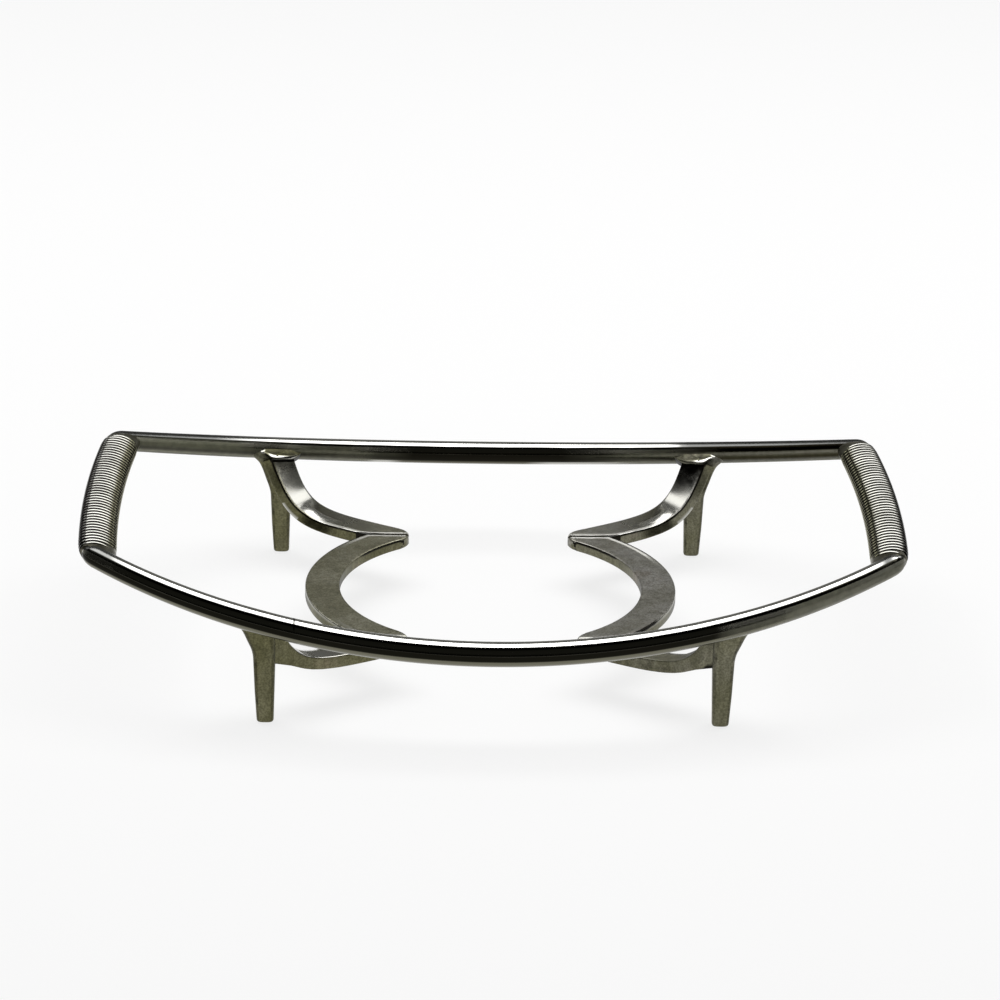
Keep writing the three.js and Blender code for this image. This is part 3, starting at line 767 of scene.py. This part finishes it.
def arm_plan(run, across):
    """Plan of a point by its run down the arm from the head and its place across the arm"""
    x = ARM_TOP[0] - run * np.cos(ARM_HEADING) - across * np.sin(ARM_HEADING)
    y = ARM_TOP[1] - run * np.sin(ARM_HEADING) + across * np.cos(ARM_HEADING)
    return x, y


def arm_fall(share):
    """Run, height and unit slope of the arm's upper line: a cubic Bezier curve"""
    head, steep, foot = np.array([[0.0, 44.44], [11.49, 18.34], [10.22, 19.86]]) * MM
    ring = np.array([62.0 * MM, RING_TOP])
    s = share[..., None]
    line = (1 - s) ** 3 * head + 3 * (1 - s) ** 2 * s * steep
    line = line + 3 * (1 - s) * s**2 * foot + s**3 * ring
    slope = (1 - s) ** 2 * (steep - head) + 2 * (1 - s) * s * (foot - steep)
    slope = slope + s**2 * (ring - foot)
    slope = slope / np.linalg.norm(slope, axis=-1, keepdims=True)
    return line[..., 0], line[..., 1], slope[..., 0], slope[..., 1]


def along_head(x, values):
    """Smooth curve by x through a row of measured values along the head"""
    reach = np.array([73.5, 76.5, 78.5, 81.6, 84.0, 85.75, 87.1, 88.8, 90.4]) * MM
    near = x[:, None] + np.linspace(-0.9, 0.9, 9) * MM
    return np.interp(near, reach, np.array(values) * MM).mean(axis=1)


def head_edge(x):
    """Place and height of the ground edge under the rail, where the arm's face begins, by x"""
    y = along_head(x, [88.4, 85.0, 82.3, 80.6, 79.4, 79.2, 80.6, 81.8, 82.9])
    z = along_head(x, [40.2, 38.7, 39.1, 39.8, 40.2, 40.4, 41.6, 41.75, 41.55])
    return y, z


def closing_row(row, step=0.0):
    """A row of a skin drawn together at its middle, a step further along X, to close an end"""
    middle = row.mean(axis=0) + np.array([step, 0.0, 0.0])
    return np.broadcast_to(middle, (1, *row.shape))


def edge_roll(run, side, depth):
    """How far in and down the upper edge on the handle's side is rolled, by the run down the arm"""
    roll = np.interp(run, np.array([12, 17, 24, 34]) * MM, [0.0, 1.0, 1.0, 0.0])
    roll = roll * (1 - depth / ARM_THICKNESS)
    most_in, most_down = 1.6 * MM, 1.1 * MM
    roll_in = most_in * roll * np.clip(1 - side / 0.35, 0, 1)
    roll_down = most_down * roll * np.clip(1 - side / 0.5, 0, 1)
    return roll_in, roll_down


def arm_rows():
    """A rounded rectangle carried down the arm. Near its head it twists towards the rail. From the
    end of the fall each of its points goes on level to its own end on the mitre or the nose. Gives
    the rows and each point's depth, side (0 by the handle, 1 by the rail), run and way to the
    mitre."""
    across, depth = bar_section(ARM_WIDTH, ARM_THICKNESS, ARM_EDGE)
    side = across / ARM_WIDTH + 0.5
    outer_x, inner_x, tucked = 85.7 * MM, 76.5 * MM, 0.1 * MM
    top_height = head_edge(outer_x + (inner_x - outer_x) * side)[1] - tucked
    table = np.linspace(0.0, 0.4, 400)
    start = np.interp(-top_height, -arm_fall(table)[1], table)
    fall_share = start + (FALL_END - start) * np.linspace(0, 1, 60)[:, None] ** 1.15
    fall_run, height, slope_run, slope_height = arm_fall(fall_share)
    flare_width, flare_run = 1.3 * MM, 9 * MM
    flare = flare_width * np.clip(1 - fall_run / flare_run, 0, 1) ** 2 * np.clip(side * 2 - 1, 0, 1)
    roll_in, roll_down = edge_roll(fall_run, side, depth)
    x, y = arm_plan(fall_run + slope_height * depth, across + flare + roll_in)
    height = height - roll_down
    twist_from, twist_rise, twist_x, twist_y = np.array([26, 14.5, 1.26, 5.5]) * MM
    rise = np.clip((height - twist_from) / twist_rise, 0, 1)
    twist = rise**2 * (3 - 2 * rise) * (1 - side) ** 1.15
    z = height - slope_run * depth
    fall = np.stack([x + twist_x * twist, y + twist_y * twist, z], axis=-1)

    mitre = MITRE_Y + MITRE_GAP
    mitre_run = (ARM_TOP[1] + across * np.cos(ARM_HEADING) - mitre) / np.sin(ARM_HEADING)
    nose_run, nose_across = 52.3 * MM, -0.87 * MM
    nose_reach = np.sqrt(np.clip(NOSE_RADIUS**2 - (across - nose_across) ** 2, 0, None))
    end_run = np.minimum(mitre_run, nose_run + nose_reach)
    first_run = arm_fall(np.full(1, FALL_END))[0]
    near_end = end_run - END_STEPS[:, None]
    level_run = first_run + (near_end[0] - first_run) * np.linspace(0, 1, 26)[1:-1, None]
    level_run = np.concatenate([level_run, near_end])
    level_line = arm_fall(np.linspace(FALL_END, 1.0, 200))
    level_height = np.interp(level_run, level_line[0], level_line[1])
    x, y = arm_plan(level_run, across)
    to_mitre = y - mitre
    to_nose = NOSE_RADIUS - np.hypot(x - NOSE[0], y - NOSE[1])
    to_nose = np.where(level_run > nose_run, to_nose, FAR)
    share = end_softening(np.minimum(to_mitre, to_nose), ARM_THICKNESS)
    share[-1] = 0.0
    roll_in, roll_down = edge_roll(level_run, side, depth)
    x, y = arm_plan(level_run, across + roll_in)
    half = ARM_THICKNESS / 2
    level = np.stack([x, y, level_height - roll_down - half + (half - depth) * share], axis=-1)

    rows = np.concatenate([closing_row(fall[0]), fall, level])
    run = np.concatenate([fall_run[:1], fall_run, level_run])
    before_level = np.full((1 + len(fall), len(side)), FAR)
    return rows, depth, side, run, np.concatenate([before_level, to_mitre])


def arm_tones(depth, side, run, to_mitre):
    """Marks of the arm's surface: its upper face, which is painted lighter, painted shade along the
    lip, in the mitre crease and over the first rows, polished face and edges, and a painted
    near-white highlight beside the crease and along the upper edge on the handle's side. Gives also
    how near each point of the face is to the head and mitre."""
    face_depth, lip_side = 0.5 * ARM_EDGE, 0.06
    upper = np.where(depth < face_depth, 1.0, 0.0)
    shine_run = np.array([0, 3, 9, 22, 34, 50]) * MM
    shine = np.interp(run, shine_run, [0.30, 0.38, 1.0, 1.0, 0.45, 0.15]) * upper * (side > 0.05)
    # Painted shade: a dark line on the handle's side just under the top edge
    lip_depth = np.array([0.2, 0.4, 0.98, 1.0, 2.4]) * ARM_EDGE
    lip = (side < lip_side) * np.interp(depth, lip_depth, [0.0, 1.0, 1.0, 0.72, 0.0])
    lip = lip * np.interp(run, np.array([0, 3, 43, 46]) * MM, [0.5, 1.0, 1.0, 0.3])
    # Painted shade in the mitre crease, and a painted highlight on the ridge just beyond it
    opening = 0.8 * MM + 1.5 * MM * np.clip(1 - side / 0.4, 0, 1) ** 2
    ridge_width, bright_reach = 1.0 * MM, 3.4 * MM
    crease_painted_shade = np.where(to_mitre < opening, 0.9, 0.0)
    ridge_painted_highlight = np.where((to_mitre > opening) & (to_mitre < opening + ridge_width), 0.9, 0.0)
    # Painted near-white highlight along the upper edge on the handle's side
    edge_highlight_share = np.interp(run, np.array([15, 22, 45, 47]) * MM, [0.0, 0.75, 0.75, 0.0])
    edge_line = np.where((side < 0.13) & (depth < 0.35 * ARM_EDGE), edge_highlight_share, 0.0)
    painted_highlight = np.maximum(ridge_painted_highlight * upper, edge_line)
    soot = np.maximum(lip, crease_painted_shade)
    # Painted shade darkens the first rows at the head
    soot[:4] = np.where(depth < 1.2 * ARM_EDGE, 1.0, soot[:4])
    fleck = (side < lip_side) & (depth > ARM_THICKNESS - 1.5 * ARM_EDGE)
    fleck = fleck & (run > 9 * MM) & (run < 14.5 * MM)
    shine = np.maximum(np.maximum(shine, painted_highlight), np.where(fleck, 1.0, 0.0))
    head_run = np.array([0, 5, 10]) * MM
    matt = np.maximum(painted_highlight, upper * np.interp(run, head_run, [0.22, 0.16, 0.0]))
    near_head = upper * np.interp(run, head_run, [1.0, 0.73, 0.0])
    beyond = (to_mitre - opening) / bright_reach
    near_mitre = upper * np.where(beyond > 0, np.clip(1 - beyond, 0, 1), 0.0)
    return {"face": upper, "soot": soot, "polish": shine, "matt": matt}, near_head, near_mitre


def head_rows():
    """Solder and ground metal of the head, as loops across the rail at places along it. Each loop
    leaves the rail's side, runs out nearly level, turns down a bevel at its edge and goes back
    inside the arm and the rail. Gives also the marks of a left and of a right head."""
    x = np.linspace(74.6, 90.4, 64) * MM
    centre = rail_line(np.arcsin(x / RAIL_CURVE))[0]
    rail_radius, sag, back, down = 4.3 * MM, 0.30 * MM, 2.2 * MM, 2.4 * MM
    turned = np.interp(x, np.array([75, 78, 92]) * MM, [0.02, 0.28, 0.30])[:, None]
    spoke = np.concatenate([turned * 0, -np.sqrt(1 - turned**2), turned], axis=1)
    start = centre + rail_radius * spoke
    brow_y = along_head(x, [88.4, 85.4, 83.0, 81.5, 80.8, 80.9, 81.4, 82.2, 82.9])
    brow_z = along_head(x, [40.4, 39.6, 40.05, 40.8, 41.2, 41.5, 42.05, 42.1, 41.95])
    edge_y, edge_z = head_edge(x)
    brow = np.stack([x, brow_y, brow_z], axis=-1)
    edge = np.stack([x, edge_y, edge_z], axis=-1)
    under = np.stack([x, np.maximum(edge_y + back, brow_y), edge_z - down], axis=-1)
    inside = centre + np.array([0.0, -0.2, -0.5]) * rail_radius
    above = centre + np.array([0.0, -0.2, 0.5]) * rail_radius
    path = [above, start]
    for share in (0.25, 0.5, 0.75):
        sagged = np.array([0.0, 0.0, -sag * np.sin(np.pi * share)])
        path.append(start * (1 - share) + brow * share + sagged)
    path.append(start * 0.06 + brow * 0.94)
    for share in (0.15, 0.5, 0.85):
        path.append(brow * (1 - share) + edge * share)
    path += [edge * 0.9 + under * 0.1, under, inside]
    rows = np.stack(path, axis=1)
    first, last = closing_row(rows[0], -0.6 * MM), closing_row(rows[-1], 0.9 * MM)

    # Values round each loop, from the point above the rail's side to the last one inside
    place = np.concatenate([x[:1], x, x[-1:]])[:, None]
    bevel = np.array([0, 0, 0, 0, 0, 0, 1, 1, 1, 0, 0, 0.0])
    corner = np.array([0, 0, 1, 1, 1, 1, 1, 1, 1, 1, 0, 0.0])
    # The solder ledge is darker, and darker still under it and inside the rail, as painted shade
    solder = np.array([0, 0.56, 0.56, 0.54, 0.53, 0.48, 0, 0, 0, 0.8, 1, 1])
    spot = np.interp(place, np.array([88.2, 89.0]) * MM, [0, 1]) * corner
    bright_left = np.interp(place, np.array([75.5, 77, 85.8, 87.2]) * MM, [0, 1, 1, 0.1])
    bright_right = np.interp(place, np.array([77.0, 81.0, 83.0, 90.0]) * MM, [0, 0.15, 1, 1])
    dark = solder * (1 - spot)
    left = dict(PLAIN, soot=dark, polish=np.maximum(bevel * bright_left, spot))
    right = dict(PLAIN, soot=dark, polish=np.maximum(bevel * bright_right, spot))
    return np.concatenate([first, rows, last]), left, right


def web_rows():
    """A flat rounded bar that runs under the arm from the leg, between a lower line and the inside
    of the arm, on the side towards the rail. Gives also the shadow on its lower edge by the leg."""
    width, edge, offset, clearance = 6.1 * MM, 0.7 * MM, 3.2 * MM, 0.15 * MM
    inside_depth, underside_depth = 2.4 * MM, 4.6 * MM
    fade_from, fade_length = 15.5 * MM, 4.5 * MM
    run = np.linspace(-1.5, 24.0, 44) * MM
    low_run = np.array([-1.5, 2.0, 8.0, 13.5, 18.0, 20.0]) * MM
    low = np.interp(run, low_run, np.array([22.7, 22.3, 20.35, 18.0, 16.6, 16.1]) * MM)
    fall_run, fall_height, slope_run, slope_height = arm_fall(np.linspace(0.0, 1.0, 400))
    inside, underside = [
        np.interp(run, fall_run + slope_height * deep, fall_height - slope_run * deep)
        for deep in (inside_depth, underside_depth)
    ]
    fade = np.clip((run - fade_from) / fade_length, 0, 1) ** 2
    low = low * (1 - fade) + (underside + clearance) * fade
    across, depth = bar_section(width, width, edge)
    height = inside[:, None] + (low - inside)[:, None] * (depth / width)
    x, y = arm_plan(run[:, None], across + offset)
    rows = np.stack([x, y, height], axis=-1)
    shadow_depth = np.array([5.3, 6.0]) * MM
    shadow = np.interp(depth, shadow_depth, [0.55, 1.0]) * (depth > shadow_depth[0])
    shadow = shadow * np.interp(run, np.array([0, 4, 8]) * MM, [1.0, 1.0, 0.0])[:, None]
    shadow = np.concatenate([shadow[:1], shadow, shadow[-1:]])
    return np.concatenate([closing_row(rows[0]), rows, closing_row(rows[-1])]), shadow


arm_skin, *arm_places = arm_rows()
arm_marks, near_head, near_mitre = arm_tones(*arm_places)
head_skin, left_head_marks, right_head_marks = head_rows()
web_skin, web_shadow = web_rows()
for quarter, facing in QUARTERS.items():
    # Painted shade darkens the upper face near the head, under the rail
    bar_marks = dict(arm_marks, soot=np.maximum(arm_marks["soot"], near_head * 0.54))
    shadow_share = 0.45
    # Rear right arm: a painted near-white highlight by the mitre, darker painted shade by the head
    if quarter == "rear_right":
        bar_marks["matt"] = np.maximum(arm_marks["matt"] * (near_head == 0), near_mitre * 0.9)
        bar_marks["polish"] = np.maximum(arm_marks["polish"], near_mitre * 0.9)
        bar_marks["soot"] = np.maximum(arm_marks["soot"], near_head * 0.78)
    # Front right arm: no polish or painted top light; matt, darkened and mottled, full painted
    # shadow
    if quarter == "front_right":
        bar_marks["polish"] = 0.0
        bar_marks["face"] = 0.0
        bar_marks["matt"] = arm_marks["face"] * 0.7
        bar_marks["soot"] = np.maximum(arm_marks["soot"], 0.45)
        shadow_share = 1.0
    head_marks = right_head_marks if facing[0] > 0 else left_head_marks
    web_marks = dict(PLAIN, soot=web_shadow * shadow_share)
    bar = closed_skin(f"{quarter}_bar", arm_skin * facing, frame_finish, bar_marks)
    closed_skin(f"{quarter}_head", head_skin * facing, frame_finish, head_marks)
    closed_skin(f"{quarter}_web", web_skin * facing, frame_finish, web_marks)
    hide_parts(f"{quarter}_arm")


# Legs
# Four cast bars, rounded at the foot and widening upwards. The head flares outwards into a
# fillet under the rail, where it is soldered.
def smoothed(outline, window=5, kept=9):
    """An outline averaged over a window of its values, with those near both ends kept"""
    average = np.convolve(outline, np.ones(window) / window, "same")
    return np.concatenate([outline[:kept], average[kept:-kept], outline[-kept:]])


def leg_rows():
    """Squarish ovals by height. Their four sides follow measured outlines, in millimetres, smoothed
    over height. Gives also how near each point is to one of the oval's four corners."""
    foot_edge, foot_lip = 0.9, 0.7
    height = np.concatenate([[0.0, 0.0, 0.15, 0.45, foot_edge], np.linspace(1.5, 42.2, 114)])
    inner_key, inner_line = [0.0, 25.0, 38.0, 40.0, 41.2, 42.2], [78.9, 78.2, 78.2, 80.0, 83.5, 86.5]
    outer_key = [0.0, 12.0, 20.0, 25.0, 26.5, 29.0, 31.5, 34.0, 36.4, 38.0, 38.9, 40.2, 42.2]
    outer_line = [85.0, 85.7, 86.0, 86.2, 86.6, 87.5, 88.4, 89.2, 90.2, 91.2, 92.3, 94.0, 95.6]
    front_key = [0.0, 25.0, 36.0, 38.0, 40.0, 41.5, 42.2]
    front_line = [80.9, 80.1, 80.6, 81.1, 81.7, 82.4, 83.0]
    rear_key, rear_line = [0.0, 25.0, 36.0, 41.2], [85.4, 86.1, 88.6, 89.5]
    later = np.interp(height, [24.0, 28.5, 40.0], [0.0, 2.4, 0.0])
    inner = smoothed(np.interp(height, inner_key, inner_line))
    outer = smoothed(np.interp(height, outer_key, outer_line))
    outer_rear = smoothed(np.interp(height - later, outer_key, outer_line))
    front = smoothed(np.interp(height, front_key, front_line))
    rear = smoothed(np.interp(height, rear_key, rear_line))
    lip = foot_lip * (1 - np.sqrt(1 - np.clip(1 - height / foot_edge, 0, 1) ** 2))
    half_x = (outer - inner) / 2 - lip
    half_y = (rear - front) / 2 - lip
    half_x[0], half_y[0] = 0.0, 0.0
    turn = np.linspace(0.0, 2 * np.pi, 72, endpoint=False)
    power = np.interp(height, [0.0, 4.0, 12.0], [0.68, 0.60, 0.5])[:, None]
    to_side, to_rear = squared(np.cos(turn), power), squared(np.sin(turn), power)
    rearward = np.clip(to_rear * 0.5 + 0.5, 0, 1) * np.clip(to_side, 0, 1)
    x = (outer + inner)[:, None] / 2 + half_x[:, None] * to_side
    x = x + (outer_rear - outer)[:, None] * rearward
    y = (rear + front)[:, None] / 2 + half_y[:, None] * to_rear
    z = np.broadcast_to(height[:, None], x.shape)
    rows = np.stack([x, y, z], axis=-1) * MM
    corner = np.clip((np.abs(to_side * to_rear) - 0.48) / 0.16, 0, 1)
    corner = corner * np.interp(height, [0.0, 36.0, 40.0], [0.5, 0.5, 0.2])[:, None]
    return np.concatenate([rows, closing_row(rows[-1])]), np.concatenate([corner, corner[-1:]])


leg_skin, leg_corners = leg_rows()
# Leg tops are matt and painted lighter under the rail; the rounded corners get painted shade
lit_top_from, lit_top_rise = 37.5 * MM, 2.5 * MM
leg_top = np.clip((leg_skin[..., 2] - lit_top_from) / lit_top_rise, 0, 1)
leg_marks = dict(PLAIN, face=leg_top * 0.4, matt=leg_top, soot=leg_corners)
for quarter, facing in QUARTERS.items():
    post = closed_skin(f"{quarter}_post", leg_skin * facing, frame_finish, leg_marks)
    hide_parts(f"{quarter}_leg")
